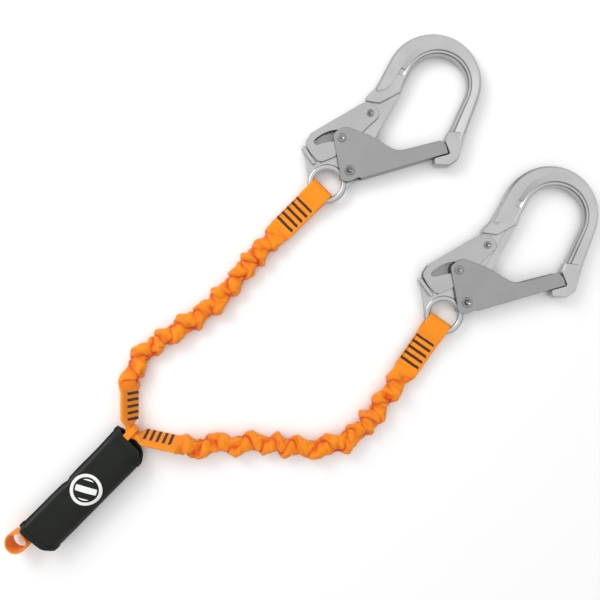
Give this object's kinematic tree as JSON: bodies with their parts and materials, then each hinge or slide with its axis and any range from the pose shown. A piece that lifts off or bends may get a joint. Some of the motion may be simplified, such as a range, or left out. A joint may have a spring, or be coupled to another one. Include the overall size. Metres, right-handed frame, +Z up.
{
  "type": "shock absorbing lanyard",
  "caption": "Twin-leg fall arrest lanyard with a padded energy absorber, elasticated orange legs and large double-action aluminium scaffold hooks, lying flat.",
  "frame": {"origin": "on the bench, under the middle of the box of the rigid and sewn pieces", "axes": "+Z up from the bench, +X and +Y along the bench, towards the hooks"},
  "size_m": [0.6736, 0.5897, 0.032],
  "materials": {
    "forged_aluminium": "satin tumbled forging",
    "gate_aluminium": "satin anodised sheet",
    "lever_aluminium": "satin anodised sheet",
    "rivet_steel": "zinc plated",
    "spring_steel": "drawn wire",
    "orange_webbing": "woven polyester",
    "elastic_core": "covered rubber tape",
    "dark_thread": "bar tacks",
    "black_cover": "coated nylon",
    "tear_tape": "tear webbing",
    "black_tape": "hook and loop",
    "label_cloth": "printed cloth"
  },
  "bodies": {
    "root": {"absorber_cover": "black_cover", "tear_webbing": "tear_tape", "tear_stitching": "dark_thread", "closure_hook_tape": "black_tape", "closure_loop_tape": "black_tape", "marking_label": "label_cloth", "absorber_loop": "orange_webbing", "harness_loop": "orange_webbing", "fork_strap": "orange_webbing", "fork_stitching_a": "dark_thread", "fork_stitching_b": "dark_thread", "leg_a_webbing": "orange_webbing", "leg_a_elastic": "elastic_core", "leg_a_hook_loop": "orange_webbing", "leg_a_hook_stitching": "dark_thread", "leg_b_webbing": "orange_webbing", "leg_b_elastic": "elastic_core", "leg_b_hook_loop": "orange_webbing", "leg_b_hook_stitching": "dark_thread"},
    "hook_a": {"hook_a_body": "forged_aluminium", "hook_a_gate_rivet": "rivet_steel", "hook_a_lever_rivet": "rivet_steel"},
    "gate_a": {"hook_a_gate": "gate_aluminium", "hook_a_latch_pin": "rivet_steel", "hook_a_gate_spring": "spring_steel"},
    "lever_a": {"hook_a_lock_lever": "lever_aluminium", "hook_a_lever_spring": "spring_steel"},
    "hook_b": {"hook_b_body": "forged_aluminium", "hook_b_gate_rivet": "rivet_steel", "hook_b_lever_rivet": "rivet_steel"},
    "gate_b": {"hook_b_gate": "gate_aluminium", "hook_b_latch_pin": "rivet_steel", "hook_b_gate_spring": "spring_steel"},
    "lever_b": {"hook_b_lock_lever": "lever_aluminium", "hook_b_lever_spring": "spring_steel"}
  },
  "joints": [
    {"name": "hook_a_swing", "type": "hinge", "parent": "root", "child": "hook_a", "pos_m": [0.0296, 0.1265, 0.0093], "axis": [0, 0, 1], "range_deg": [-25, 8]},
    {"name": "gate_a_open", "type": "hinge", "parent": "hook_a", "child": "gate_a", "pos_m": [0.05491, 0.14078, 0.0093], "axis": [0, 0, 1], "range_deg": [0, 40], "stiffness_Nm_per_rad": 0.6, "springref_deg": -45.84},
    {"name": "lever_a_press", "type": "hinge", "parent": "hook_a", "child": "lever_a", "pos_m": [0.07867, 0.2064, 0.0093], "axis": [0, 0, 1], "range_deg": [0, 10], "stiffness_Nm_per_rad": 0.1, "springref_deg": -17.19},
    {"name": "hook_b_swing", "type": "hinge", "parent": "root", "child": "hook_b", "pos_m": [0.1634, -0.0241, 0.0093], "axis": [0, 0, 1], "range_deg": [-40, 4]},
    {"name": "gate_b_open", "type": "hinge", "parent": "hook_b", "child": "gate_b", "pos_m": [0.18871, -0.00982, 0.0093], "axis": [0, 0, 1], "range_deg": [0, 40], "stiffness_Nm_per_rad": 0.6, "springref_deg": -45.84},
    {"name": "lever_b_press", "type": "hinge", "parent": "hook_b", "child": "lever_b", "pos_m": [0.21247, 0.0558, 0.0093], "axis": [0, 0, 1], "range_deg": [0, 10], "stiffness_Nm_per_rad": 0.1, "springref_deg": -17.19}
  ],
  "couplings": [
    {"joint": "lever_a_press", "follows": "gate_a_open", "ratio": 0.25},
    {"joint": "lever_b_press", "follows": "gate_b_open", "ratio": 0.25}
  ]
}
